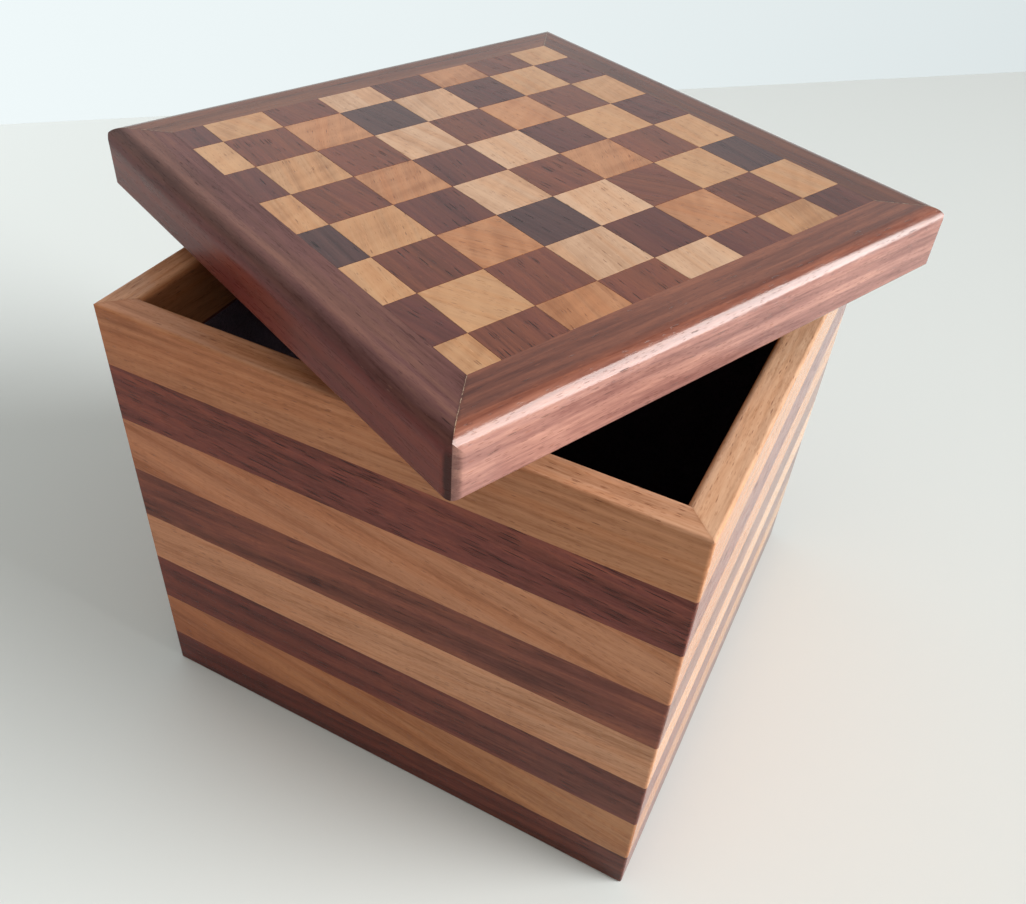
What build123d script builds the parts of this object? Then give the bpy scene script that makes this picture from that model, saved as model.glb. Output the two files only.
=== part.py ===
"""Chess box with a loose lid.

A square box whose four walls are stacks of light and dark wooden strips, mitred at
the corners, lined with black felt below a band of bare wood.  The lid is a mitred
walnut frame round a chess board of inlaid squares; a panel glued under it drops into
the box and holds the lid in place.  Here the lid lies turned on the rim, standing on
that panel.

Millimetres, +Z up.  The origin is the middle of the underside of the box, +X runs
along the front wall and +Y from the front to the back.
"""
from build123d import *
import os

# ---------------------------------------------------------------- box walls
box_side = 133.0             # outside width and depth
wall = 7.0                   # thickness of every strip
strip_height = 15.0
full_strips = 7              # strips of full height, counted down from the rim
lowest_strip_height = 11.7
corner_radius = 0.8          # eased upright corners
rim_outer_radius = 0.7       # eased outer edge of the rim
rim_inner_radius = 1.4       # rounded inner edge of the rim
base_edge_radius = 0.5       # eased edge at the table

# ---------------------------------------------------------------- bottom and lining
panel_thickness = 4.0
panel_rebate = 3.0           # how far the bottom panel reaches under each wall
felt = 1.2
bare_band = strip_height     # the lining stops at the joint under the rim strip

# ---------------------------------------------------------------- lid frame
lid_thickness = 13.4
rail_width = 11.7
lid_top_radius = 4.0         # round-over along the top
lid_base_radius = 0.75       # eased lower edge
lid_corner_radius = 2.9      # rounded upright corners

# ---------------------------------------------------------------- board and lip
square_pitch = 15.0
squares_per_side = 8
square_thickness = 4.0
glue_line = 0.06             # gap between neighbouring squares
board_shift_x = 0.4          # the grid sits off the middle of the frame, so that the
board_shift_y = -2.6         # outer rows are trimmed by different amounts
lip_thickness = 5.3
lip_clearance = 0.75         # between the lip and the walls when the lid is closed
lip_edge_radius = 0.8

# ---------------------------------------------------------------- how the lid lies
lid_turn = -24.2             # degrees about +Z
lid_x = -5.3
lid_y = 2.5

# The woods of the board from the near left corner, one row to a rank: p pale, g golden,
# a amber, b brown, m plum, k black.  One strip of light wood runs through each rank.
board_woods = ("mgmgkgmg",
               "gbgbgbgb",
               "babamaba",
               "pkpmpkpb",
               "mpbpbpmp",
               "amamabam",
               "bgbgbgbg",
               "gmgmgkgm")
wood_of_letter = {"p": "pale", "g": "golden", "a": "amber",
                  "b": "brown", "m": "plum", "k": "black"}

# ---------------------------------------------------------------- derived sizes
box_height = full_strips * strip_height + lowest_strip_height
inner_side = box_side - 2 * wall
lid_side = box_side
board_side = lid_side - 2 * rail_width
lip_side = inner_side - 2 * lip_clearance
felt_top = box_height - bare_band
frame_top = lip_thickness + lid_thickness        # from the underside of the lip
sides = ("front", "right", "back", "left")


def block(x0, x1, y0, y1, z0, z1):
    """A rectangular block between two corners."""
    centre = Pos((x0 + x1) / 2, (y0 + y1) / 2, (z0 + z1) / 2)
    return centre * Box(x1 - x0, y1 - y0, z1 - z0)


def square_block(side, z0, z1):
    """A square block on the Z axis."""
    return block(-side / 2, side / 2, -side / 2, side / 2, z0, z1)


def lengthwise_edge(board, outer, top):
    """The long edge of a front board, on its outer or inner face, at top or bottom."""
    long_edges = board.edges().filter_by(Axis.X).sort_by(Axis.Y)
    pair = long_edges[:2] if outer else long_edges[-2:]
    return pair.sort_by(Axis.Z)[-1 if top else 0]


def mitred(board, side, upright_radius, z0, z1):
    """Cut a front board to the 45 degree mitres of a square frame with rounded corners."""
    wedge_face = make_face(Polyline((0, 0), (-side, -side), (side, -side), close=True))
    wedge = extrude(Pos(0, 0, z0) * wedge_face, z1 - z0)
    outline = extrude(Pos(0, 0, z0) * RectangleRounded(side, side, upright_radius), z1 - z0)
    return board & wedge & outline


def on_side(index, piece):
    """Turn a front piece to the front, right, back or left."""
    return Rot(0, 0, 90 * index) * piece


def wall_strip(number):
    """One front strip, counted from 1 at the rim, as a mitred board."""
    z1 = box_height - (number - 1) * strip_height
    lowest = number > full_strips
    z0 = 0 if lowest else z1 - strip_height
    half = box_side / 2
    strip = block(-half, half, -half, -half + wall, z0, z1)
    if number == 1:
        strip = fillet(lengthwise_edge(strip, outer=False, top=True), rim_inner_radius)
        strip = fillet(lengthwise_edge(strip, outer=True, top=True), rim_outer_radius)
    if lowest:
        strip = fillet(lengthwise_edge(strip, outer=True, top=False), base_edge_radius)
        strip -= square_block(inner_side + 2 * panel_rebate, 0, panel_thickness)
    return mitred(strip, box_side, corner_radius, z0, z1)


def lid_rail():
    """The front rail of the lid frame, with its round-over, as a mitred board."""
    half = lid_side / 2
    rail = block(-half, half, -half, -half + rail_width, lip_thickness, frame_top)
    rail = fillet(lengthwise_edge(rail, outer=True, top=True), lid_top_radius)
    rail = fillet(lengthwise_edge(rail, outer=True, top=False), lid_base_radius)
    return mitred(rail, lid_side, lid_corner_radius, lip_thickness, frame_top)


def lid_lip():
    """The panel under the lid, its lower edges and corners eased to slip into the box."""
    lip = square_block(lip_side, 0, lip_thickness)
    lip = fillet(lip.edges().filter_by(Axis.Z), lip_edge_radius)
    return fillet(lip.faces().sort_by(Axis.Z)[0].edges(), lip_edge_radius / 2)


def grid_lines(shift):
    """Edges of the files or ranks: full squares inside, trimmed ones at the frame."""
    middle = squares_per_side / 2
    inner = [(line - middle) * square_pitch + shift for line in range(1, squares_per_side)]
    return [-board_side / 2] + inner + [board_side / 2]


def wood_of_square(column, rank):
    """The kind of wood in one square."""
    letters = board_woods[rank % len(board_woods)]
    return wood_of_letter[letters[column % len(letters)]]


def board_squares():
    """The inlaid squares, flush with the frame, as groups of solids by kind of wood."""
    columns = grid_lines(board_shift_x)
    ranks = grid_lines(board_shift_y)
    limit = board_side / 2
    groups = {}
    for rank in range(squares_per_side):
        for column in range(squares_per_side):
            x0 = max(columns[column], -limit)
            x1 = min(columns[column + 1], limit)
            y0 = max(ranks[rank], -limit)
            y1 = min(ranks[rank + 1], limit)
            if min(x1 - x0, y1 - y0) <= 2 * glue_line:
                continue
            # the outer squares meet the frame; inside, half a glue line is left all round
            x0 += glue_line / 2 if column > 0 else 0
            x1 -= glue_line / 2 if column < squares_per_side - 1 else 0
            y0 += glue_line / 2 if rank > 0 else 0
            y1 -= glue_line / 2 if rank < squares_per_side - 1 else 0
            square = block(x0, x1, y0, y1, frame_top - square_thickness, frame_top)
            groups.setdefault(wood_of_square(column, rank), []).append(square)
    return groups


def box_pieces():
    """Walls, bottom panel and felt lining, by node name."""
    pieces = {}
    for number in range(1, full_strips + 2):
        strip = wall_strip(number)
        for index, side in enumerate(sides):
            pieces[f"{side}_strip_{number}"] = on_side(index, strip)
    pieces["bottom_panel"] = square_block(inner_side + 2 * panel_rebate, 0, panel_thickness)
    pieces["felt_floor"] = square_block(inner_side, panel_thickness, panel_thickness + felt)
    half = inner_side / 2
    # each felt runs from one corner up to the face of the next
    wall_felt = block(-half, half - felt, -half, -half + felt, panel_thickness + felt, felt_top)
    for index, side in enumerate(sides):
        pieces[f"felt_{side}"] = on_side(index, wall_felt)
    return pieces


def lid_pieces():
    """Frame, core, lip and squares, by node name, as the lid lies on the rim."""
    pieces = {}
    rail = lid_rail()
    for index, side in enumerate(sides):
        pieces[f"lid_rail_{side}"] = on_side(index, rail)
    pieces["lid_core"] = square_block(board_side, lip_thickness, frame_top - square_thickness)
    pieces["lid_lip"] = lid_lip()
    for wood, squares in board_squares().items():
        pieces[f"squares_{wood}"] = Compound(children=squares)
    place = Pos(lid_x, lid_y, box_height) * Rot(0, 0, lid_turn)
    return {name: place * piece for name, piece in pieces.items()}


os.makedirs("parts", exist_ok=True)
for name, piece in {**box_pieces(), **lid_pieces()}.items():
    export_step(piece, f"parts/{name}.step")
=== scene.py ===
"""Chess box with a loose lid: its woods, inlaid board, felt lining and studio."""
import math
import random

import bpy
import bmesh
from mathutils import Matrix, Vector, noise


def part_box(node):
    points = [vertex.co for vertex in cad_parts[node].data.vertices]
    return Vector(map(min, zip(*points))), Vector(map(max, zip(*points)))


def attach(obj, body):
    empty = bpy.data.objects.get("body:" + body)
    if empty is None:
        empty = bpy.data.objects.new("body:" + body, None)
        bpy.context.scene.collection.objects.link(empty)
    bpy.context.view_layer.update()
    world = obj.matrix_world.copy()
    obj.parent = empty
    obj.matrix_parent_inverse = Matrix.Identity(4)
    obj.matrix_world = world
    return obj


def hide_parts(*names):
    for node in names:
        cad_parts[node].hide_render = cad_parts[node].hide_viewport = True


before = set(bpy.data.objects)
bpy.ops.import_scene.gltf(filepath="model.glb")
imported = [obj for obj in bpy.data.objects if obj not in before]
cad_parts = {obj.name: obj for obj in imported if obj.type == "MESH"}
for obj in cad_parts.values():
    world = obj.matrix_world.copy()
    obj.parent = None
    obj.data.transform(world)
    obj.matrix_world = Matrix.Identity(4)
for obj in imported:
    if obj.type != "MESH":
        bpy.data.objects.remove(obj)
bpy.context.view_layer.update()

bl_info = {
    "name": "Chess Box",
    "version": (1, 0, 0),
    "blender": (4, 5, 0),
    "location": "View3D > Sidebar > Chess Box",
    "description": "Dresses a chess box with striped walls and an inlaid lid",
    "category": "Object",
}

MM = 0.001
SIDES = ("front", "right", "back", "left")


def lid_place():
    """Middle of the lid's top, how far the lid is turned about the vertical, and the width
    of the opening that the board fills."""
    corners = [v.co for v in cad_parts["lid_core"].data.vertices]
    near = min(corners, key=lambda p: p.y)
    far_right = max(corners, key=lambda p: p.x)
    low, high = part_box("lid_core")
    along = far_right - near
    centre = (low + high) / 2
    centre.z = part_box("lid_rail_front")[1].z
    return centre, math.atan2(-along.x, along.y), Vector((along.x, along.y, 0)).length


LID_CENTRE, LID_TURN, BOARD_OPENING = lid_place()

# The woods of the board from the near left corner, one row to a rank.
BOARD_WOODS = ("mgmgkgmg", "gbgbgbgb", "babamaba", "pkpmpkpb",
               "mpbpbpmp", "amamabam", "bgbgbgbg", "gmgmgkgm")
SQUARE_WOODS = {"p": "pale", "g": "golden", "a": "amber",
                "b": "brown", "m": "plum", "k": "black"}

# Squares whose grain has a set slant, in degrees, by column and rank.
SLANTED_SQUARES = {(1, 1): 4, (2, 1): 14, (4, 1): 20, (6, 1): -24, (0, 1): -18, (1, 2): 26,
                   (3, 2): 22, (5, 2): -28, (7, 2): 12, (4, 5): 28, (5, 5): -32, (6, 5): -22,
                   (7, 6): 20, (5, 6): -10, (7, 1): 3, (5, 1): 2, (3, 1): -6}


# ------------------------------------------------------------------ settings
def colour_setting(name, description, default):
    return bpy.props.FloatVectorProperty(name=name, description=description, default=default,
                                         subtype="COLOR_GAMMA", size=3, min=0, max=1)


def length_setting(name, description, default):
    return bpy.props.FloatProperty(name=name, description=description, default=default,
                                   subtype="DISTANCE", unit="LENGTH", min=0)


class ChessBoxWoods(bpy.types.PropertyGroup):
    """Colours and finish of the woods."""
    strip_light: colour_setting(
        "Light strips", "Light wood of the walls", (0.745, 0.505, 0.355))
    strip_walnut: colour_setting(
        "Walnut strips", "Dark wood of the walls", (0.475, 0.250, 0.205))
    rail_walnut: colour_setting(
        "Lid rails", "Walnut of the lid frame", (0.428, 0.270, 0.224))
    pale: colour_setting("Pale squares", "Palest wood of the board", (0.775, 0.622, 0.505))
    golden: colour_setting("Golden squares", "Golden wood of the board", (0.725, 0.548, 0.400))
    amber: colour_setting("Amber squares", "Orange wood of the board", (0.695, 0.485, 0.340))
    brown: colour_setting("Brown squares", "Brown walnut of the board", (0.446, 0.246, 0.178))
    plum: colour_setting("Plum squares", "Purplish walnut of the board", (0.378, 0.203, 0.171))
    black: colour_setting(
        "Black squares", "Nearly black wood of the board", (0.303, 0.196, 0.192))
    plywood: colour_setting("Plywood", "Bottom panel, core and lip", (0.76, 0.62, 0.46))
    roughness: bpy.props.FloatProperty(
        name="Roughness", description="Roughness of the oiled surface", default=0.18,
        min=0, max=1, subtype="FACTOR")
    relief: length_setting("Relief", "Depth of the open grain", 0.00004)


class ChessBoxBoard(bpy.types.PropertyGroup):
    """Sizes of the inlaid board."""
    pitch: length_setting("Pitch", "Side of a full square", 0.015)
    glue_line: length_setting("Glue line", "Gap between neighbouring squares", 0.00006)
    depth: length_setting("Depth", "Thickness of the squares", 0.004)
    shift: bpy.props.FloatVectorProperty(
        name="Shift", description="How far the grid sits off the middle of the frame",
        default=(0.0004, -0.0026), size=2, subtype="XYZ", unit="LENGTH")
    seed: bpy.props.IntProperty(name="Seed", description="Varies the squares", default=5)


class ChessBoxLining(bpy.types.PropertyGroup):
    """The black felt inside the box."""
    colour: colour_setting("Felt", "Colour of the felt", (0.365, 0.31, 0.355))
    ragged: length_setting("Ragged", "How far the cut edge wanders", 0.0003)


class ChessBoxStage(bpy.types.PropertyGroup):
    """Floor, backdrop and lights."""
    floor: colour_setting("Floor", "Colour of the table", (0.868, 0.886, 0.885))
    wall: colour_setting("Backdrop", "Colour of the wall behind", (0.95, 0.985, 0.99))
    window: bpy.props.FloatProperty(
        name="Window", description="Strength of the window light", default=5.0, min=0)
    wall_light: bpy.props.FloatProperty(
        name="Backdrop light",
        description="Share of its brightness that the wall gives as light",
        default=0.8, min=0)
    sky_front: bpy.props.FloatProperty(
        name="Front light", description="Strength of the soft light from the front",
        default=0.32, min=0)
    sky_back: bpy.props.FloatProperty(
        name="Back light", description="Strength of the soft light from behind",
        default=0.80, min=0)


class ChessBoxSettings(bpy.types.PropertyGroup):
    """Everything that can be changed on the chess box."""
    woods: bpy.props.PointerProperty(type=ChessBoxWoods, name="Woods", description="Woods")
    board: bpy.props.PointerProperty(type=ChessBoxBoard, name="Board", description="Board")
    lining: bpy.props.PointerProperty(type=ChessBoxLining, name="Lining", description="Felt")
    stage: bpy.props.PointerProperty(type=ChessBoxStage, name="Stage", description="Studio")


def settings():
    """The chess box's settings in this scene."""
    return bpy.context.scene.chess_box


# ------------------------------------------------------------------ node helpers
def linear(colour):
    """A display colour as scene-linear RGBA."""
    return [c / 12.92 if c <= 0.04045 else ((c + 0.055) / 1.055) ** 2.4 for c in colour] + [1]


def tinted(colour, red, green, blue):
    """A linear colour multiplied channel by channel."""
    return [colour[0] * red, colour[1] * green, colour[2] * blue, 1]


class Graph:
    """Adds nodes to a tree; an input may be a number, a vector or another node's output."""

    def __init__(self, tree):
        self.tree = tree
        tree.nodes.clear()

    def node(self, kind, inputs=(), **options):
        made = self.tree.nodes.new(kind)
        for name, value in options.items():
            setattr(made, name, value)
        pairs = inputs.items() if isinstance(inputs, dict) else enumerate(inputs)
        for key, value in pairs:
            self.join(value, made.inputs[key])
        return made

    def join(self, value, socket):
        if isinstance(value, bpy.types.NodeSocket):
            self.tree.links.new(value, socket)
        elif value is not None:
            socket.default_value = value

    def math(self, operation, *values):
        return self.node("ShaderNodeMath", values, operation=operation).outputs[0]

    def vector(self, operation, *values):
        made = self.node("ShaderNodeVectorMath", values, operation=operation)
        return made.outputs["Value" if operation in ("LENGTH", "DOT_PRODUCT") else "Vector"]

    def mix(self, share, a, b, blend="MIX"):
        made = self.node("ShaderNodeMix", {0: share, 6: a, 7: b}, data_type="RGBA",
                         blend_type=blend)
        return made.outputs[2]

    def shaded(self, share, colour, shade):
        """A share of a colour multiplied by a shade."""
        return self.mix(share, colour, self.mix(1.0, colour, shade, "MULTIPLY"))

    def span(self, value, low, high, out_low=0.0, out_high=1.0, smooth=False):
        """The value's place between low and high, held within the outer two numbers."""
        made = self.node("ShaderNodeMapRange", (value, low, high, out_low, out_high),
                         interpolation_type="SMOOTHSTEP" if smooth else "LINEAR")
        return made.outputs[0]

    def noise(self, position, stretch, detail, rough, colour=False):
        """Noise on a position in millimetres, multiplied by stretch per axis."""
        at = self.vector("MULTIPLY", position, stretch)
        made = self.node("ShaderNodeTexNoise", {"Vector": at, "Scale": 1.0, "Detail": detail,
                                                "Roughness": rough})
        return made.outputs["Color" if colour else "Fac"]


def seen_or_reflected(g):
    """1 where the camera, a reflection or glass sees a surface, 0 where it only gives light."""
    path = g.node("ShaderNodeLightPath").outputs
    return g.math("MAXIMUM", path["Is Camera Ray"],
                  g.math("MAXIMUM", path["Is Glossy Ray"], path["Is Transmission Ray"]))


def add_sockets(tree, inputs, outputs):
    """Named sockets of a node group: (name, kind, default) and (name, kind)."""
    for name, kind, default in inputs:
        made = tree.interface.new_socket(name, in_out="INPUT", socket_type="NodeSocket" + kind)
        if default is not None:
            made.default_value = default
    for name, kind in outputs:
        tree.interface.new_socket(name, in_out="OUTPUT", socket_type="NodeSocket" + kind)


# ------------------------------------------------------------------ wood
# What a wood looks like besides its colour.  Lengths are millimetres.
LIGHT_WOOD = {
    "Growth": 3.2, "Growth Strength": 0.38, "Line Strength": 0.16, "Streak Strength": 0.35,
    "Fibre Strength": 0.45, "Cloud Strength": 0.45, "Tint Strength": 0.6, "Wander": 2.5,
    "Pore Share": 0.12, "Pore Length": 2.6, "Pore Width": 0.34, "Pore Strength": 0.65,
    "Fleck Share": 0.45, "Fleck Strength": 0.40, "Seam": 0.25,
    "dark": (0.66, 0.55, 0.45), "light": (1.24, 1.30, 1.32), "tint": (1.04, 0.90, 0.76),
    "pore": (0.40, 0.28, 0.24)}
WALNUT = {
    "Growth": 3.4, "Growth Strength": 0.50, "Line Strength": 0.30, "Streak Strength": 0.48,
    "Fibre Strength": 0.42, "Cloud Strength": 0.50, "Tint Strength": 0.7, "Wander": 3.0,
    "Pore Share": 0.20, "Pore Length": 5.5, "Pore Width": 0.32, "Pore Strength": 0.95,
    "Fleck Share": 0.45, "Fleck Strength": 0.35, "Seam": 0.5,
    "dark": (0.50, 0.42, 0.45), "light": (1.50, 1.55, 1.42), "tint": (0.92, 0.86, 1.08),
    "pore": (0.10, 0.07, 0.09)}

# Inputs of the wood group: first those that every board sets.
WOOD_INPUTS = (
    *((name, "Vector", None) for name in ("Position", "Slant", "Pith")),
    *((name, "Color", None) for name in ("Base", "Dark", "Light", "Tint", "Pore")),
    *((name, "Float", None) for name in (
        "Seed", "Growth", "Growth Strength", "Line Strength", "Streak Strength",
        "Fibre Strength", "Cloud Strength", "Tint Strength", "Wander", "Pore Share",
        "Pore Length", "Pore Width", "Pore Strength", "Fleck Share", "Fleck Strength",
        "Seam", "Roughness", "Relief")),
    ("Ray Strength", "Float", 0.0), ("Tone", "Float", 0.0), ("Painted Face", "Color", (1, 1, 1, 1)),
    ("Painted Face From", "Float", -1.5), ("Painted Face To", "Float", -5.0),
    ("Fade", "Color", (1, 1, 1, 1)), ("Ply", "Float", 0.0), ("Mitre", "Float", 0.0),
    ("End Grain And Shade", "Float", 0.0), ("Glue", "Color", (0.55, 0.40, 0.28, 1)))

# How finely the parts of a board's figure vary along, across and through it, per
# millimetre, with their detail and roughness.
SWING = (0.011, 0.035, 0.035), 1.5, 0.45
STREAKS = (0.010, 0.60, 0.60), 3.0, 0.62
FIBRES = (0.12, 1.3, 1.3), 3.0, 0.75
CLOUDS = (0.022, 0.08, 0.08), 3.0, 0.5
RAYS = (0.05, 0.34, 0.15), 1.0, 0.4
TINTS = (0.012, 0.26, 0.26), 2.5, 0.55
BROKEN_GLUE = (1.1, 1.1, 1.1), 2.0, 0.6
WORN_EDGE = (0.9, 0.9, 0.5), 3.0, 0.6
FIGURE_GAINS = {"Growth": 2.2, "Streak": 1.9, "Fibre": 3.2, "Cloud": 1.9, "Ray": 3.0}

SEED_STRIDES = (173.0, 31.0, 67.0)     # moves the next board to another part of the figure
SEED_RINGS = 9.0                       # and to another part of the tree's years
RING_LENGTH_SHARE = 0.03               # rings hardly change along the board
RAY_ANGLE = 1.03                       # how far the rays turn from the grain
LIT_END_REACH = 60.0                      # the painted lit end runs this far each way from the middle
TWO_PLIES = 2.65
FLECK_LENGTH, FLECK_WIDTH, DUST_SHARE = 1.9, 0.26, 0.03


def board_axes(g, given):
    """The place in the board turned by its slant, the same moved off by its seed, and how
    far the grain swings to the sides there."""
    turned = g.node("ShaderNodeVectorRotate", {
        "Vector": given["Position"], "Rotation": given["Slant"]},
        rotation_type="EULER_XYZ").outputs[0]
    away = g.node("ShaderNodeCombineXYZ", [
        g.math("MULTIPLY", given["Seed"], stride) for stride in SEED_STRIDES]).outputs[0]
    at = g.vector("ADD", turned, away)
    swing = g.vector("SUBTRACT", g.noise(at, *SWING, colour=True), (0.5, 0.5, 0.5))
    amount = g.node("ShaderNodeCombineXYZ", (0.0, given["Wander"], given["Wander"])).outputs[0]
    return turned, at, g.vector("MULTIPLY", swing, amount)


def growth_rings(g, given, place):
    """Rings round the pith: bands of uneven width, and the thin line that ends each ring,
    darker in some years than in others."""
    from_pith = g.vector("SUBTRACT", place, given["Pith"])
    radius = g.vector("LENGTH", g.vector("MULTIPLY", from_pith, (RING_LENGTH_SHARE, 1, 1)))
    ring = g.math("ADD", g.math("DIVIDE", radius, given["Growth"]),
                  g.math("MULTIPLY", given["Seed"], SEED_RINGS))
    bands = g.node("ShaderNodeTexNoise", {
        "W": ring, "Scale": 1.0, "Detail": 3.0, "Roughness": 0.55},
        noise_dimensions="1D").outputs["Fac"]
    year = g.math("ADD", ring, g.math("MULTIPLY", bands, 1.6))
    late = g.math("POWER", g.math("FRACT", year), 5.0)
    hard = g.node("ShaderNodeTexWhiteNoise", {"W": g.math("FLOOR", year)},
                  noise_dimensions="1D").outputs["Value"]
    return bands, g.math("MULTIPLY", late, hard)


def figured_colour(g, given, grown, lines, figure):
    """The wood between its dark and its light tone, with patches of its tint."""
    tone = g.math("SUBTRACT", 0.5, g.math("MULTIPLY", lines, given["Line Strength"]))
    for part, value in figure.items():
        strength = g.math("MULTIPLY", given[f"{part} Strength"], FIGURE_GAINS[part])
        tone = g.math("ADD", tone, g.math("MULTIPLY", g.math("SUBTRACT", value, 0.5), strength))
    tone = g.math("ADD", tone, given["Tone"])
    tint_share = g.math("MULTIPLY", g.span(g.noise(grown, *TINTS), 0.42, 0.60, smooth=True),
                        given["Tint Strength"])
    body = g.mix(tint_share, given["Base"], given["Tint"])
    darker = g.mix(g.span(tone, 0.0, 0.5), given["Dark"], body)
    return g.mix(g.span(tone, 0.5, 1.05), darker, given["Light"])


def ply_edges(g, given, height, clouds):
    """Where the plies of a panel show at its edge, every other one and the glue between."""
    layer = g.math("FRACT", g.math("ADD", g.math("DIVIDE", height, TWO_PLIES),
                                   g.math("MULTIPLY", clouds, 0.12)))
    across = g.math("MULTIPLY", g.math("GREATER_THAN", layer, 0.5), 0.45)
    glued = g.math("LESS_THAN", g.math("ABSOLUTE", g.math("SUBTRACT", layer, 0.5)), 0.03)
    return g.math("MULTIPLY", given["Ply"], g.math("MAXIMUM", glued, across))


def dashes(g, at, length, width):
    """Short dashes along the grain, of uneven size, and each one's chance to show."""
    fineness = g.node("ShaderNodeCombineXYZ", (
        g.math("DIVIDE", 1.0, length), g.math("DIVIDE", 1.0, width),
        g.math("DIVIDE", 1.0, width))).outputs[0]
    cells = g.node("ShaderNodeTexVoronoi", {
        "Vector": g.vector("MULTIPLY", at, fineness), "Scale": 1.0, "Randomness": 1.0},
        feature="F1")
    chance = g.node("ShaderNodeSeparateColor", (cells.outputs["Color"],)).outputs
    reach = g.span(chance[1], 0.0, 1.0, 0.22, 0.42)
    dash = g.span(g.math("SUBTRACT", reach, cells.outputs["Distance"]), 0.0, 0.10)
    return dash, chance[0]


def in_share(g, dash, chance, share):
    """The dashes of that share of the cells."""
    return g.math("MULTIPLY", dash, g.math("GREATER_THAN", chance,
                                           g.math("SUBTRACT", 1.0, share)))


def mitred_colour(g, given, place, colour):
    """The mitres at both ends: glue shows on top, the joint is dark below, and the end
    grain that the rounded corner cuts is darker: partly its own end grain, partly painted shade
    on the corner."""
    from_mitre = g.math("ABSOLUTE", g.math("ADD", g.math("ABSOLUTE", place[0]), place[1]))
    broken = g.span(g.noise(given["Position"], *BROKEN_GLUE), 0.44, 0.60)
    on_top = g.span(place[2], -0.9, -0.3)
    glue = g.math("MULTIPLY", g.span(from_mitre, 0.03, 0.16, 1.0, 0.0),
                  g.math("MULTIPLY", g.math("MULTIPLY", broken, on_top), given["Mitre"]))
    worn = g.noise(given["Position"], *WORN_EDGE)
    seam = g.math("MULTIPLY", given["Seam"], g.span(
        from_mitre, 0.0, g.span(worn, 0.35, 0.65, 0.1, 1.2), 1.0, 0.0))
    end_grain_and_shade = g.math("MULTIPLY", given["End Grain And Shade"], g.span(
        g.math("ADD", from_mitre, g.math("MULTIPLY", worn, 1.5)), 2.2, 3.2, 1.0, 0.0))
    end_grain_and_shade = g.math("MULTIPLY", end_grain_and_shade, g.span(place[2], -4.5, -1.5, 1.0, 0.0))
    joint_and_shade_colour = g.mix(0.45, given["Dark"], given["Pore"])
    return g.mix(glue, g.mix(g.math("MAXIMUM", seam, end_grain_and_shade), colour, joint_and_shade_colour), given["Glue"])


def wood_group():
    """Colour, roughness and surface of a board, its grain along X, in millimetres."""
    tree = bpy.data.node_groups.get("Sawn Wood")
    if tree:
        return tree
    tree = bpy.data.node_groups.new("Sawn Wood", "ShaderNodeTree")
    add_sockets(tree, WOOD_INPUTS,
                (("Color", "Color"), ("Roughness", "Float"), ("Normal", "Vector")))
    g = Graph(tree)
    given = g.node("NodeGroupInput").outputs
    place = g.node("ShaderNodeSeparateXYZ", (given["Position"],)).outputs
    turned, at, swung = board_axes(g, given)
    grown = g.vector("ADD", at, swung)
    bands, lines = growth_rings(g, given, g.vector("ADD", turned, swung))
    streaks, fibres = g.noise(grown, *STREAKS), g.noise(grown, *FIBRES)
    clouds = g.noise(at, *CLOUDS)
    crossed = g.node("ShaderNodeVectorRotate", {"Vector": grown, "Angle": RAY_ANGLE},
                     rotation_type="Z_AXIS").outputs[0]
    colour = figured_colour(g, given, grown, lines, {
        "Growth": bands, "Streak": streaks, "Fibre": fibres, "Cloud": clouds,
        "Ray": g.noise(crossed, *RAYS)})
    colour = g.mix(ply_edges(g, given, place[2], clouds), colour, given["Dark"])
    # one face of the board in another shade: painted light where a face catches the window and
    # its reflection, painted shade where it turns away from it
    painted_face = g.span(place[2], given["Painted Face From"], given["Painted Face To"])
    colour = g.shaded(painted_face, colour, given["Painted Face"])
    # towards its right-hand end the board is painted paler and greyer, as painted light and
    # reflection
    lit_end = g.span(place[0], -LIT_END_REACH, LIT_END_REACH)
    colour = g.shaded(lit_end, colour, given["Fade"])
    # open pores, more of them in the dark bands, and fine flecks and dust all over
    crowd = g.span(g.math("ADD", bands, clouds), 0.80, 1.20, 1.5, 0.4)
    open_grain = in_share(g, *dashes(g, grown, given["Pore Length"], given["Pore Width"]),
                          g.math("MULTIPLY", given["Pore Share"], crowd))
    dash, chance = dashes(g, grown, FLECK_LENGTH, FLECK_WIDTH)
    flecks = in_share(g, dash, chance, given["Fleck Share"])
    dust = g.math("MULTIPLY", dash, g.math("LESS_THAN", chance, DUST_SHARE))
    for share, strength, tone in ((flecks, given["Fleck Strength"], "Dark"),
                                  (open_grain, given["Pore Strength"], "Pore"),
                                  (dust, 0.5, "Light")):
        colour = g.mix(g.math("MULTIPLY", share, strength), colour, given[tone])
    colour = mitred_colour(g, given, place, colour)
    rough = g.math("ADD", given["Roughness"],
                   g.math("ADD", g.math("MULTIPLY", open_grain, 0.25),
                          g.math("MULTIPLY", g.math("SUBTRACT", fibres, 0.5), 0.3)))
    height = g.math("SUBTRACT", g.math("ADD", g.math("MULTIPLY", fibres, 0.5), streaks),
                    g.math("ADD", open_grain, g.math("MULTIPLY", flecks, 0.3)))
    bump = g.node("ShaderNodeBump", {
        "Strength": 1.0, "Distance": given["Relief"], "Height": height}).outputs[0]
    g.node("NodeGroupOutput", {"Color": colour, "Roughness": rough, "Normal": bump})
    return tree


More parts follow.
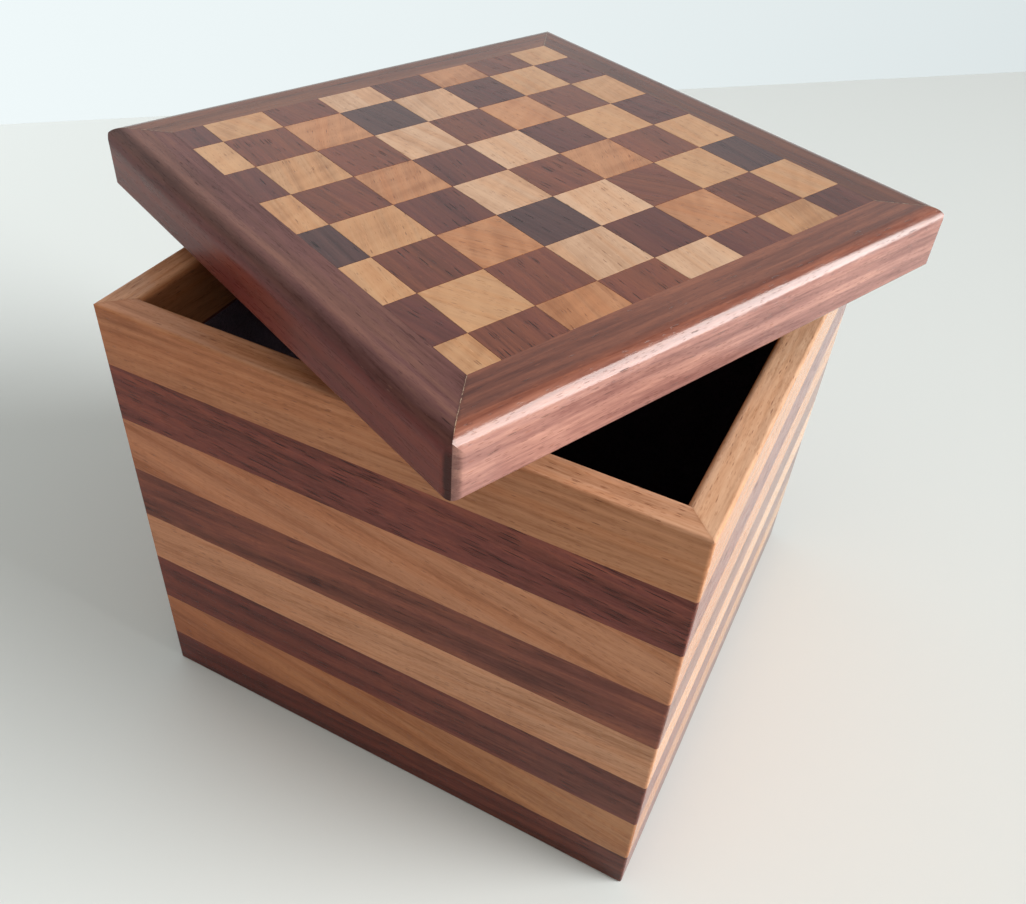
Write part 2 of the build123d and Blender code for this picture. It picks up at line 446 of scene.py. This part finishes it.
def wood_material(name, colour, wood, centre, turn, seed, slant=(0, 0, 0), gloss=0.3,
                  shade=(1, 1, 1), per_square=False, **changes):
    """A board's material; its frame is at centre, turned about the vertical by turn."""
    material = bpy.data.materials.new(name)
    material.use_nodes = True
    g = Graph(material.node_tree)
    coordinates = g.node("ShaderNodeTexCoord").outputs["Object"]
    placed = g.node("ShaderNodeMapping", {
        "Vector": coordinates, "Location": tuple(centre), "Rotation": (0, 0, turn),
        "Scale": (MM, MM, MM)}, vector_type="TEXTURE").outputs[0]
    base = tinted(linear(colour), *shade)
    look = {**wood, **changes}
    tones = {key.capitalize(): tinted(base, *look.pop(key))
             for key in ("dark", "light", "tint", "pore")}
    grain = g.node("ShaderNodeGroup", node_tree=wood_group())
    finish = settings().woods
    for key, value in {"Position": placed, "Seed": seed, "Slant": slant, "Base": base,
                       "Roughness": finish.roughness, "Relief": finish.relief,
                       **tones, **look}.items():
        g.join(value, grain.inputs[key])
    if per_square:
        own = {key: g.node("ShaderNodeAttribute", attribute_name=key).outputs["Fac"]
               for key in ("square_seed", "square_slant", "square_tone")}
        g.join(own["square_seed"], grain.inputs["Seed"])
        g.join(own["square_tone"], grain.inputs["Tone"])
        turned = g.node("ShaderNodeCombineXYZ", (0.0, 0.0, own["square_slant"])).outputs[0]
        g.join(turned, grain.inputs["Slant"])
    shader = g.node("ShaderNodeBsdfPrincipled", {
        "Base Color": grain.outputs["Color"], "Roughness": grain.outputs["Roughness"],
        "Normal": grain.outputs["Normal"], "Specular IOR Level": gloss})
    g.node("ShaderNodeOutputMaterial", (shader.outputs[0],))
    return material


def dress(node_name, material):
    """Gives a CAD node its material."""
    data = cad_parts[node_name].data
    if not data.materials:
        data.materials.append(material)
    for index in range(len(data.materials)):
        data.materials[index] = material


# ------------------------------------------------------------------ walls
# Tone (red, green, blue) of the boards that each side was cut from. The right side's much paler
# boards are painted light, the window's light and its glancing reflection; the front's slightly
# darker boards are partly painted shade.
SIDE_TONES_AND_LIGHT = {
    "front": dict(rim=(0.915, 0.90, 0.92), light=(0.905, 0.87, 0.88), dark=(0.94, 0.97, 0.93)),
    "right": dict(rim=(1.13, 1.42, 1.68), light=(0.97, 1.20, 1.40), dark=(1.16, 2.02, 2.35)),
    "back": dict(rim=(0.98, 0.93, 0.90), light=(0.98, 0.93, 0.90), dark=(0.92, 1.19, 1.20)),
    "left": dict(rim=(1.00, 0.91, 0.85), light=(1.00, 0.91, 0.85), dark=(0.92, 1.19, 1.20))}

# How lively the figure of a side is where it isn't as lively as the others: the window-lit
# right side's figure is toned down as painted glare.
SIDE_FIGURE_IN_GLARE = {"right": 0.6}

# How far a strip is painted paler and greyer at its right-hand end, as painted light and
# reflection, and how glossy the walls are.
STRIP_LIT_END = (1.04, 1.22, 1.36, 1)
WALL_GLOSS = 0.14

# Where the heart of the tree lay, seen from a strip.
PITH_ABOVE, PITH_BELOW = (0, -38, 30), (0, -38, -26)

# The layers of the wall, counted from the rim: seed, slant of the grain on the face in
# degrees, shade of the wood (red, green, blue), and what differs from the plain wood. The
# darker shades of layers 6 to 8 are partly the wood and partly painted shade near the table.
LAYERS = {
    # the rim's top face is painted paler: a painted reflection of the window
    1: (1.37, 1.2, (0.86, 0.79, 0.73), {
        "Growth": 1.6, "Painted Face From": 6.9, "Painted Face To": 7.4, "Painted Face": (1.12, 1.35, 1.65, 1)}),
    2: (2.11, -4.0, (1.03, 0.88, 0.82), {"Pore Share": 0.62, "Pore Length": 7.5}),
    3: (3.73, -9.0, (0.96, 0.90, 0.89), {
        "Growth": 5.5, "Growth Strength": 0.55, "Tone": 0.03}),
    4: (4.19, 1.5, (1.02, 0.99, 0.82), {
        "Cloud Strength": 1.0, "Pore Share": 0.12, "Pith": PITH_BELOW}),
    5: (5.41, 3.0, (1.06, 1.11, 1.17), {"Growth": 6.0, "Tone": 0.05}),
    6: (6.07, -1.0, (0.90, 0.64, 0.53), {
        "Tone": -0.04, "Pore Share": 0.14, "Fade": (0.97, 1.46, 1.74, 1)}),
    7: (7.93, -10.0, (0.79, 0.65, 0.52), {
        "Growth": 5.0, "Growth Strength": 0.50, "Tone": -0.03, "Fade": (1.10, 1.46, 1.7, 1)}),
    8: (8.29, 0.5, (0.78, 0.455, 0.36), {
        "Tone": -0.18, "Pore Share": 0.14, "Fade": (1.0, 1.64, 1.76, 1),
        "Pith": PITH_BELOW}),
}


class ChessBoxDressWalls(bpy.types.Operator):
    """Give every strip of the walls its own piece of wood."""
    bl_idname = "chess_box.dress_walls"
    bl_label = "Dress Walls"

    def execute(self, context):
        woods = settings().woods
        for layer, (seed, slant, shade, changes) in LAYERS.items():
            light = layer % 2 == 1
            board = "rim" if layer == 1 else "light" if light else "dark"
            colour = woods.strip_light if light else woods.strip_walnut
            look = {"Fade": STRIP_LIT_END, "Pith": PITH_ABOVE,
                    **(LIGHT_WOOD if light else WALNUT), **changes}
            for index, side in enumerate(SIDES):
                node = f"{side}_strip_{layer}"
                low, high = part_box(node)
                own = [a * b for a, b in zip(shade, SIDE_TONES_AND_LIGHT[side][board])]
                figure = {key: look[key] * SIDE_FIGURE_IN_GLARE.get(side, 1) for key in
                          ("Growth Strength", "Streak Strength", "Cloud Strength", "Wander")}
                dress(node, wood_material(
                    node, colour, look, (0, 0, (low.z + high.z) / 2),
                    math.radians(90 * index), seed + 0.61 * index,
                    (0, math.radians(slant), 0), gloss=WALL_GLOSS, shade=own, **figure))
        return {"FINISHED"}


# ------------------------------------------------------------------ lid frame
RAIL_WOOD = {
    **WALNUT, "Growth Strength": 0.38, "Streak Strength": 0.40, "Fibre Strength": 0.32,
    "Pore Share": 0.05, "Pore Width": 0.26, "Pore Length": 3.5, "Pore Strength": 0.6,
    "End Grain And Shade": 0.4, "Mitre": 0.8, "Roughness": 0.15, "Pith": (0, -20, -34)}

# Each rail's seed, shade of the wood (red, green, blue), gloss, and what else differs. The
# front rail's paler shade is painted reflection on its less glossy top; its darker side face is
# painted shade, and the right rail's much paler side face is painted window light and
# reflection.
RAILS = {
    "front": (0.41, (1.03, 1.20, 1.38), 0.12, {
        "Growth": 2.6, "Roughness": 0.3, "End Grain And Shade": 0.95,
        "Painted Face": (1.00, 0.50, 0.45, 1), "Painted Face From": -0.9, "Painted Face To": -2.8}),
    "right": (1.57, (1.10, 0.88, 0.72), 0.32, {
        "Growth": 2.4, "light": (1.65, 1.75, 1.6), "tint": (0.96, 0.93, 0.92),
        "Painted Face": (1.90, 3.0, 4.4, 1), "Painted Face From": 0.2, "Painted Face To": -3.0}),
    "back": (2.39, (0.78, 0.60, 0.43), 0.32, {"Growth": 3.6}),
    "left": (3.01, (1.08, 0.98, 0.76), 0.32, {"Growth": 3.2}),
}


class ChessBoxDressRails(bpy.types.Operator):
    """Give the four rails of the lid their walnut."""
    bl_idname = "chess_box.dress_rails"
    bl_label = "Dress Lid Rails"

    def execute(self, context):
        colour = settings().woods.rail_walnut
        for index, side in enumerate(SIDES):
            seed, shade, gloss, changes = RAILS[side]
            node = f"lid_rail_{side}"
            dress(node, wood_material(
                node, colour, RAIL_WOOD, LID_CENTRE, LID_TURN + math.radians(90 * index),
                seed, gloss=gloss, shade=shade, **changes))
        return {"FINISHED"}


# ------------------------------------------------------------------ board
# The squares' figure is quieter than the strips'.
LIGHT_SQUARE = {
    **LIGHT_WOOD, "Pith": (0, 24, -40), "Growth": 3.4, "Growth Strength": 0.26,
    "Streak Strength": 0.34, "Fibre Strength": 0.17, "Cloud Strength": 0.25, "Seam": 0.0}
DARK_SQUARE = {
    **WALNUT, "Pith": (0, 24, -40), "Growth": 2.8, "Growth Strength": 0.26,
    "Streak Strength": 0.28, "Fibre Strength": 0.26, "Cloud Strength": 0.25, "Seam": 0.0}
SQUARE_LOOKS = {
    "pale": {**LIGHT_SQUARE, "Ray Strength": 0.12},
    "golden": {**LIGHT_SQUARE, "Ray Strength": 0.20},
    "amber": {**LIGHT_SQUARE, "Ray Strength": 0.28},
    "brown": DARK_SQUARE,
    "plum": DARK_SQUARE,
    "black": {**DARK_SQUARE, "Pore Share": 0.15, "Growth Strength": 0.35,
              "Streak Strength": 0.4, "Tint Strength": 0.2}}

SQUARES_PER_SIDE = len(BOARD_WOODS)
ARRIS = 0.006                  # eased top edge, as a share of a square's side
LOOSE_SLANT = 9                # most that the grain of the other squares slants, in degrees


def build_squares_tree():
    """Geometry nodes that lay the squares of one wood from a lattice of points."""
    tree = bpy.data.node_groups.new("Inlaid Squares", "GeometryNodeTree")
    add_sockets(tree, [
        ("Geometry", "Geometry", None), ("Wood", "Int", 0), ("Pitch", "Float", 0.015),
        ("Opening", "Float", 0.11), ("Depth", "Float", 0.004), ("Glue Line", "Float", 0.0001),
        ("Shift", "Vector", (0, 0, 0)), ("Arris", "Float", 0.01), ("Turn", "Vector", (0, 0, 0)),
        ("Place", "Vector", (0, 0, 0)), ("Seed", "Int", 0), ("Material", "Material", None)],
        [("Geometry", "Geometry")])
    tree.is_modifier = True
    g = Graph(tree)
    given = g.node("NodeGroupInput").outputs

    def stored(name, kind="FLOAT"):
        made = g.node("GeometryNodeInputNamedAttribute", {"Name": name}, data_type=kind)
        return made.outputs["Attribute"]

    def limits(name, shift):
        """Lowest and highest edge of a square along one axis, trimmed at the frame."""
        number = stored(name)
        half = g.math("DIVIDE", given["Opening"], 2.0)
        line = g.math("ADD", g.math("MULTIPLY", g.math(
            "SUBTRACT", number, SQUARES_PER_SIDE / 2), given["Pitch"]), shift)
        gap = g.math("DIVIDE", given["Glue Line"], 2.0)
        low = g.math("MAXIMUM", g.math("ADD", line, gap), g.math("MULTIPLY", half, -1.0))
        high = g.math("MINIMUM", g.math("SUBTRACT", g.math("ADD", line, given["Pitch"]), gap),
                      half)
        return low, high

    shift = g.node("ShaderNodeSeparateXYZ", (given["Shift"],)).outputs
    x0, x1 = limits("column", shift[0])
    y0, y1 = limits("rank", shift[1])
    chosen = g.node("FunctionNodeCompare", {"A": stored("wood", "INT"), "B": given["Wood"]},
                    data_type="INT", operation="EQUAL")
    kept = g.node("GeometryNodeSeparateGeometry", {
        "Geometry": given["Geometry"], "Selection": chosen.outputs[0]}).outputs["Selection"]
    middle = g.node("ShaderNodeCombineXYZ", (
        g.math("DIVIDE", g.math("ADD", x0, x1), 2.0),
        g.math("DIVIDE", g.math("ADD", y0, y1), 2.0),
        g.math("DIVIDE", given["Depth"], -2.0))).outputs[0]
    moved = g.node("GeometryNodeSetPosition", {"Geometry": kept, "Position": middle}).outputs[0]
    # one eased tile, a metre on a side, that every square is a scaled copy of
    tile = g.node("GeometryNodeMeshCube", {"Size": (1, 1, 1)}).outputs["Mesh"]
    upward = g.node("ShaderNodeSeparateXYZ", (g.node("GeometryNodeInputNormal").outputs[0],))
    top = g.node("FunctionNodeCompare", {"A": upward.outputs[2], "B": 0.9}, data_type="FLOAT",
                 operation="GREATER_THAN").outputs[0]
    place = g.node("ShaderNodeSeparateXYZ", (g.node("GeometryNodeInputPosition").outputs[0],))
    above = g.node("FunctionNodeCompare", {"A": place.outputs[2], "B": 0.0}, data_type="FLOAT",
                   operation="GREATER_THAN").outputs[0]
    lowered = g.node("GeometryNodeSetPosition", {
        "Geometry": tile, "Selection": above,
        "Offset": g.node("ShaderNodeCombineXYZ", (
            0.0, 0.0, g.math("MULTIPLY", given["Arris"], -1.0))).outputs[0]}).outputs[0]
    raised = g.node("GeometryNodeExtrudeMesh", {
        "Mesh": lowered, "Selection": top, "Offset Scale": given["Arris"], "Individual": False},
        mode="FACES")
    eased = g.node("GeometryNodeScaleElements", {
        "Geometry": raised.outputs["Mesh"], "Selection": raised.outputs["Top"],
        "Scale": g.math("SUBTRACT", 1.0, given["Arris"])}).outputs[0]
    size = g.node("ShaderNodeCombineXYZ", (g.math("SUBTRACT", x1, x0),
                  g.math("SUBTRACT", y1, y0), given["Depth"])).outputs[0]
    laid = g.node("GeometryNodeInstanceOnPoints", {
        "Points": moved, "Instance": eased, "Scale": size}).outputs[0]
    for name, low, high in (("square_seed", 0.0, 40.0), ("square_tone", -0.13, 0.13)):
        value = g.node("FunctionNodeRandomValue", {
            2: low, 3: high, 7: stored("number", "INT"), 8: given["Seed"]},
            data_type="FLOAT")
        laid = g.node("GeometryNodeStoreNamedAttribute", {
            "Geometry": laid, "Name": name, "Value": value.outputs[1]},
            data_type="FLOAT", domain="INSTANCE").outputs[0]
    placed = g.node("GeometryNodeTransform", {
        "Geometry": laid, "Translation": given["Place"], "Rotation": given["Turn"]}).outputs[0]
    real = g.node("GeometryNodeRealizeInstances", {"Geometry": placed}).outputs[0]
    done = g.node("GeometryNodeSetMaterial", {
        "Geometry": real, "Material": given["Material"]}).outputs[0]
    g.node("NodeGroupOutput", {"Geometry": done})
    return tree


def new_object(name, data):
    """An object in the scene that shows this data."""
    made = bpy.data.objects.new(name, data)
    bpy.context.scene.collection.objects.link(made)
    return made


def grown_mesh(source, tree, values, name):
    """The plain mesh that a geometry-nodes tree makes from an object."""
    modifier = source.modifiers.new("Nodes", "NODES")
    modifier.node_group = tree
    for socket in tree.interface.items_tree:
        if socket.in_out == "INPUT" and socket.name in values:
            modifier[socket.identifier] = values[socket.name]
    graph = bpy.context.evaluated_depsgraph_get()
    graph.update()
    mesh = bpy.data.meshes.new_from_object(source.evaluated_get(graph), depsgraph=graph)
    mesh.name = name
    source.modifiers.remove(modifier)
    return mesh


def board_lattice():
    """A point for each square, with its column, rank, wood and slant of the grain."""
    letters = list(SQUARE_WOODS)
    chance = random.Random(settings().board.seed)
    rows = []
    for rank, woods in enumerate(BOARD_WOODS):
        for column, letter in enumerate(woods):
            slant = SLANTED_SQUARES.get((column, rank),
                                        chance.uniform(-LOOSE_SLANT, LOOSE_SLANT))
            rows.append((column, rank, letters.index(letter), math.radians(slant)))
    mesh = bpy.data.meshes.new("board_lattice")
    mesh.from_pydata([(0, 0, 0)] * len(rows), [], [])
    for index, (name, kind) in enumerate((("column", "FLOAT"), ("rank", "FLOAT"),
                                          ("wood", "INT"), ("square_slant", "FLOAT"))):
        layer = mesh.attributes.new(name, kind, "POINT")
        layer.data.foreach_set("value", [row[index] for row in rows])
    mesh.attributes.new("number", "INT", "POINT").data.foreach_set("value", range(len(rows)))
    return mesh


class ChessBoxLayBoard(bpy.types.Operator):
    """Lay the sixty-four inlaid squares, one piece for each kind of wood."""
    bl_idname = "chess_box.lay_board"
    bl_label = "Lay Board"

    def execute(self, context):
        board, woods = settings().board, settings().woods
        tree = build_squares_tree()
        lattice = new_object("board_lattice", board_lattice())
        for number, wood in enumerate(SQUARE_WOODS.values()):
            material = wood_material(
                f"square_{wood}", getattr(woods, wood), SQUARE_LOOKS[wood],
                LID_CENTRE, LID_TURN, 0, per_square=True)
            mesh = grown_mesh(lattice, tree, {
                "Wood": number, "Pitch": board.pitch, "Opening": BOARD_OPENING,
                "Depth": board.depth, "Glue Line": board.glue_line,
                "Shift": (board.shift[0], board.shift[1], 0), "Arris": ARRIS,
                "Turn": (0, 0, LID_TURN), "Place": tuple(LID_CENTRE), "Seed": board.seed,
                "Material": material}, f"board_{wood}")
            piece = new_object(f"board_{wood}", mesh)
            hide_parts(f"squares_{wood}")
            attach(piece, "lid")
        bpy.data.objects.remove(lattice)
        return {"FINISHED"}


# ------------------------------------------------------------------ hidden panels
class ChessBoxDressPanels(bpy.types.Operator):
    """Finish the bottom panel and the core and lip of the lid."""
    bl_idname = "chess_box.dress_panels"
    bl_label = "Dress Panels"

    def execute(self, context):
        colour = settings().woods.plywood
        for node, centre, turn, seed in (("bottom_panel", Vector(), 0, 11.3),
                                         ("lid_core", LID_CENTRE, LID_TURN, 12.9),
                                         ("lid_lip", LID_CENTRE, LID_TURN, 14.2)):
            dress(node, wood_material(
                node, colour, LIGHT_WOOD, centre, turn, seed,
                Growth=5.0, Pith=(0, 5, -60), Seam=0.0, Ply=1.0))
        return {"FINISHED"}


# ------------------------------------------------------------------ felt lining
# Metres.
FELT_MESH = 0.002              # spacing of the sheet's points
FELT_SINK = 0.00012            # how far the face lies back on average
FELT_UNEVEN = 0.00008          # and how far it rises and falls
FELT_SPARE = 0.0003            # left free behind, so that the uneven sheet fits its place
FELT_SOFT_EDGE = 0.00035
FELT_NAP = 0.0003              # depth of the matted fibres


def felt_material():
    """Black felt: matted fibres that catch a little light at a glancing angle."""
    material = bpy.data.materials.new("black_felt")
    material.use_nodes = True
    g = Graph(material.node_tree)
    at = g.vector("SCALE", g.node("ShaderNodeTexCoord").outputs["Object"])
    at.node.inputs["Scale"].default_value = 1 / MM
    colour = linear(settings().lining.colour)
    matted = g.noise(at, (1.6, 1.6, 1.6), 6.0, 0.7)
    patches = g.noise(at, (0.07, 0.07, 0.07), 2.0, 0.5)
    fluff = g.noise(at, (5.0, 5.0, 5.0), 3.0, 0.65)
    tone = g.math("ADD", g.span(matted, 0.3, 0.7, 0.45, 1.35),
                  g.span(patches, 0.3, 0.7, -0.15, 0.2))
    toned = g.mix(1.0, colour, tone, "MULTIPLY")
    height = g.math("ADD", matted, g.math("MULTIPLY", fluff, 0.5))
    bump = g.node("ShaderNodeBump", {
        "Strength": 1.0, "Distance": FELT_NAP, "Height": height}).outputs[0]
    shader = g.node("ShaderNodeBsdfPrincipled", {
        "Base Color": toned, "Roughness": 0.95, "Normal": bump, "Specular IOR Level": 0.15,
        "Sheen Weight": 0.35, "Sheen Roughness": 0.45, "Sheen Tint": (0.55, 0.5, 0.6, 1)})
    g.node("ShaderNodeOutputMaterial", (shader.outputs[0],))
    return material


def felt_sheet(name, low, high, face, ragged_top, seed):
    """A flat felt between two corners, its face towards the inside of the box.

    The face axis is the thin one; the sheet is slightly uneven and its cut edge wanders.
    """
    lining = settings().lining
    size = high - low
    thin = max(range(3), key=lambda axis: abs(face[axis]))
    across, up = [axis for axis in range(3) if axis != thin]
    columns, rows = (max(2, round(size[axis] / FELT_MESH)) for axis in (across, up))
    front = high[thin] if face[thin] > 0 else low[thin]
    mesh = bmesh.new()
    offset = Vector((seed * 13.7, seed * 5.1, seed * 3.3))
    grid = []
    for row in range(rows + 1):
        line = []
        for column in range(columns + 1):
            point = Vector()
            point[across] = low[across] + size[across] * column / columns
            point[up] = low[up] + size[up] * row / rows
            point[thin] = front
            inset = noise.noise(point * 60 + offset) + 0.5 * noise.noise(point * 300 + offset)
            point[thin] -= face[thin] * (FELT_SINK + FELT_UNEVEN * inset)
            if ragged_top:
                wave = noise.noise(Vector((point[across] * 110, seed, 0)))
                wave += 0.5 * noise.noise(Vector((point[across] * 700, seed, 4)))
                point[up] -= (row / rows) ** 8 * lining.ragged * (1 + wave)
            line.append(mesh.verts.new(point))
        grid.append(line)
    for lower, upper in zip(grid, grid[1:]):
        for a, b, c, d in zip(lower, lower[1:], upper[1:], upper):
            mesh.faces.new((a, b, c, d))
    mesh.normal_update()
    first_face = mesh.faces[:][0]
    if first_face.normal.dot(Vector(face)) < 0:
        bmesh.ops.reverse_faces(mesh, faces=mesh.faces[:])
    data = bpy.data.meshes.new(name)
    mesh.to_mesh(data)
    mesh.free()
    piece = new_object(name, data)
    solid = piece.modifiers.new("Thickness", "SOLIDIFY")
    solid.thickness, solid.offset = size[thin] - FELT_SPARE, -1
    edge = piece.modifiers.new("Soft edge", "BEVEL")
    edge.width, edge.segments, edge.limit_method = FELT_SOFT_EDGE, 2, "ANGLE"
    edge.angle_limit = math.radians(60)
    graph = bpy.context.evaluated_depsgraph_get()
    graph.update()
    finished = bpy.data.meshes.new_from_object(piece.evaluated_get(graph), depsgraph=graph)
    piece.modifiers.clear()
    piece.data = finished
    finished.name = name
    for polygon in finished.polygons:
        polygon.use_smooth = True
    return piece


class ChessBoxLineInside(bpy.types.Operator):
    """Line the walls and the floor of the box with black felt."""
    bl_idname = "chess_box.line_inside"
    bl_label = "Line Inside"

    def execute(self, context):
        material = felt_material()
        facing = {"floor": (0, 0, 1), "front": (0, 1, 0), "right": (-1, 0, 0),
                  "back": (0, -1, 0), "left": (1, 0, 0)}
        for number, (side, face) in enumerate(facing.items()):
            low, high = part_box(f"felt_{side}")
            piece = felt_sheet(f"lining_{side}", low, high, face, side != "floor", number + 1)
            piece.data.materials.clear()
            piece.data.materials.append(material)
            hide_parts(f"felt_{side}")
            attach(piece, "box")
        return {"FINISHED"}


# ------------------------------------------------------------------ stage
TABLE_REACH = 3
TABLE_ROUGHNESS, TABLE_GLOSS = 0.6, 0.1

# The wall behind stands on a line through a foot; its height, and how far it runs each way.
WALL_FOOT, WALL_ALONG = Vector((-0.248, 0.278, 0)), Vector((0.746, 0.666, 0))
WALL_HEIGHT, WALL_LEFT, WALL_RIGHT = 1.2, 0.55, 2

# The window's width in the sky, its height above the table and its place round the box.
WINDOW_SPREAD, WINDOW_HEIGHT, WINDOW_ROUND = (math.radians(angle) for angle in (38, 20, 17))
WINDOW_COLOUR = (1.0, 1.0, 0.985)

# The room's light is strongest from this side; what is seen of the room is pale near the
# horizon and dim overhead, like a ceiling.
ROOM_BRIGHT_SIDE = Vector((-0.2, 0.8, 0.55)).normalized()
ROOM_LIGHT, ROOM_SEEN, ROOM_CEILING = (1.0, 0.955, 0.88, 1), (0.93, 0.94, 0.94, 1), 0.22

CAMERA_PLACE = (0.080786, -0.182458, 0.230757)
CAMERA_RIGHT = Vector((0.88494, 0.46329, 0.04728))
CAMERA_UP = Vector((-0.33336, 0.55929, 0.75899))
CAMERA_BACK = Vector((0.32519, -0.68742, 0.64938))
CAMERA_LENS, CAMERA_SENSOR, CAMERA_SHIFT = 34.665, 36, (0.01937, -0.01385)


def table_material(colour):
    """The table top, plain and matt."""
    material = bpy.data.materials.new("table_top")
    material.use_nodes = True
    g = Graph(material.node_tree)
    shader = g.node("ShaderNodeBsdfPrincipled", {
        "Base Color": linear(colour), "Roughness": TABLE_ROUGHNESS,
        "Specular IOR Level": TABLE_GLOSS})
    g.node("ShaderNodeOutputMaterial", (shader.outputs[0],))
    return material


def backdrop_material(colour, light):
    """A glowing wall, a little dimmer to the right: seen or reflected as its own colour,
    dimmer as a light, and clear from behind."""
    material = bpy.data.materials.new("backdrop")
    material.use_nodes = True
    g = Graph(material.node_tree)
    place = g.node("ShaderNodeSeparateXYZ", (g.node("ShaderNodeTexCoord").outputs["Object"],))
    fade = g.span(place.outputs[0], -0.45, 0.15, 1.0, 0.80)
    given_off = g.math("MULTIPLY", light, g.math("POWER", fade, 6.0))
    level = g.math("MULTIPLY", fade, g.span(seen_or_reflected(g), 0.0, 1.0, given_off, 1.0))
    glow = g.node("ShaderNodeEmission", (linear(colour), level)).outputs[0]
    clear = g.node("ShaderNodeBsdfTransparent").outputs[0]
    behind = g.node("ShaderNodeNewGeometry").outputs["Backfacing"]
    shader = g.node("ShaderNodeMixShader", (behind, glow, clear)).outputs[0]
    g.node("ShaderNodeOutputMaterial", (shader,))
    return material


def flat_sheet(name, corners, material):
    """A plain four-cornered part of the stage."""
    mesh = bpy.data.meshes.new(name)
    mesh.from_pydata(corners, [], [(0, 1, 2, 3)])
    mesh.materials.append(material)
    made = new_object(name, mesh)
    return made


def light_window(strength):
    """A wide window far away, which lights the whole table evenly."""
    window = bpy.data.lights.new("window", "SUN")
    window.angle = WINDOW_SPREAD
    window.energy, window.color = strength, WINDOW_COLOUR
    towards = Vector((math.cos(WINDOW_ROUND) * math.cos(WINDOW_HEIGHT),
                      math.sin(WINDOW_ROUND) * math.cos(WINDOW_HEIGHT),
                      math.sin(WINDOW_HEIGHT)))
    lamp = new_object("window", window)
    lamp.location = towards * 1.5
    lamp.rotation_euler = (-towards).to_track_quat("-Z", "Y").to_euler()


def light_room(front, back):
    """Soft light from the room all round, weaker from the front than from behind."""
    world = bpy.data.worlds.new("studio")
    bpy.context.scene.world = world
    world.use_nodes = True
    g = Graph(world.node_tree)
    direction = g.node("ShaderNodeTexCoord").outputs["Generated"]
    facing = g.vector("DOT_PRODUCT", direction, ROOM_BRIGHT_SIDE)
    strength = g.span(facing, -0.9, 0.8, front, back)
    overhead = g.node("ShaderNodeSeparateXYZ", (direction,)).outputs[2]
    dim = g.span(overhead, 0.15, 0.42, 1.0, ROOM_CEILING, smooth=True)
    around = g.node("ShaderNodeBackground", (ROOM_LIGHT, strength)).outputs[0]
    beyond = g.node("ShaderNodeBackground", (ROOM_SEEN, dim)).outputs[0]
    both = g.node("ShaderNodeMixShader", (seen_or_reflected(g), around, beyond)).outputs[0]
    g.node("ShaderNodeOutputWorld", (both,))


def set_camera():
    """The camera, in front of the box and a little to its right, looking down."""
    camera = bpy.data.cameras.new("camera")
    camera.sensor_width, camera.lens = CAMERA_SENSOR, CAMERA_LENS
    camera.shift_x, camera.shift_y = CAMERA_SHIFT
    camera.clip_start = 0.01
    view = new_object("camera", camera)
    turn = Matrix((CAMERA_RIGHT, CAMERA_UP, CAMERA_BACK)).transposed()
    view.matrix_world = Matrix.Translation(CAMERA_PLACE) @ turn.to_4x4()
    bpy.context.scene.camera = view


class ChessBoxSetStage(bpy.types.Operator):
    """Set up the table, the wall behind, the lights and the camera."""
    bl_idname = "chess_box.set_stage"
    bl_label = "Set Stage"

    def execute(self, context):
        stage = settings().stage
        far = TABLE_REACH
        flat_sheet("table", [(-far, -far, 0), (far, -far, 0), (far, far, 0), (-far, far, 0)],
                   table_material(stage.floor))
        left, right = WALL_FOOT - WALL_ALONG * WALL_LEFT, WALL_FOOT + WALL_ALONG * WALL_RIGHT
        up = Vector((0, 0, WALL_HEIGHT))
        flat_sheet("wall", [left, right, right + up, left + up],
                   backdrop_material(stage.wall, stage.wall_light))
        light_window(stage.window)
        light_room(stage.sky_front, stage.sky_back)
        set_camera()
        context.scene.view_settings.view_transform = "Standard"
        return {"FINISHED"}


# ------------------------------------------------------------------ panel and registration
OPERATORS = (ChessBoxDressWalls, ChessBoxDressRails, ChessBoxLayBoard, ChessBoxDressPanels,
             ChessBoxLineInside, ChessBoxSetStage)


class VIEW3D_PT_chess_box(bpy.types.Panel):
    """Sizes, colours and steps of the chess box."""
    bl_idname = "VIEW3D_PT_chess_box"
    bl_label = "Chess Box"
    bl_space_type = "VIEW_3D"
    bl_region_type = "UI"
    bl_category = "Chess Box"

    def draw(self, context):
        for group in ("woods", "board", "lining", "stage"):
            box = self.layout.box()
            values = getattr(context.scene.chess_box, group)
            for name in values.bl_rna.properties.keys():
                if name not in ("rna_type", "name"):
                    box.prop(values, name)
        for operator in OPERATORS:
            self.layout.operator(operator.bl_idname)


CLASSES = (ChessBoxWoods, ChessBoxBoard, ChessBoxLining, ChessBoxStage, ChessBoxSettings,
           *OPERATORS, VIEW3D_PT_chess_box)


def register():
    for cls in CLASSES:
        bpy.utils.register_class(cls)
    bpy.types.Scene.chess_box = bpy.props.PointerProperty(type=ChessBoxSettings)


def unregister():
    del bpy.types.Scene.chess_box
    for cls in reversed(CLASSES):
        bpy.utils.unregister_class(cls)


def main():
    register()
    for operator in OPERATORS:
        group, name = operator.bl_idname.split(".")
        getattr(getattr(bpy.ops, group), name)()


if __name__ == "__main__":
    main()
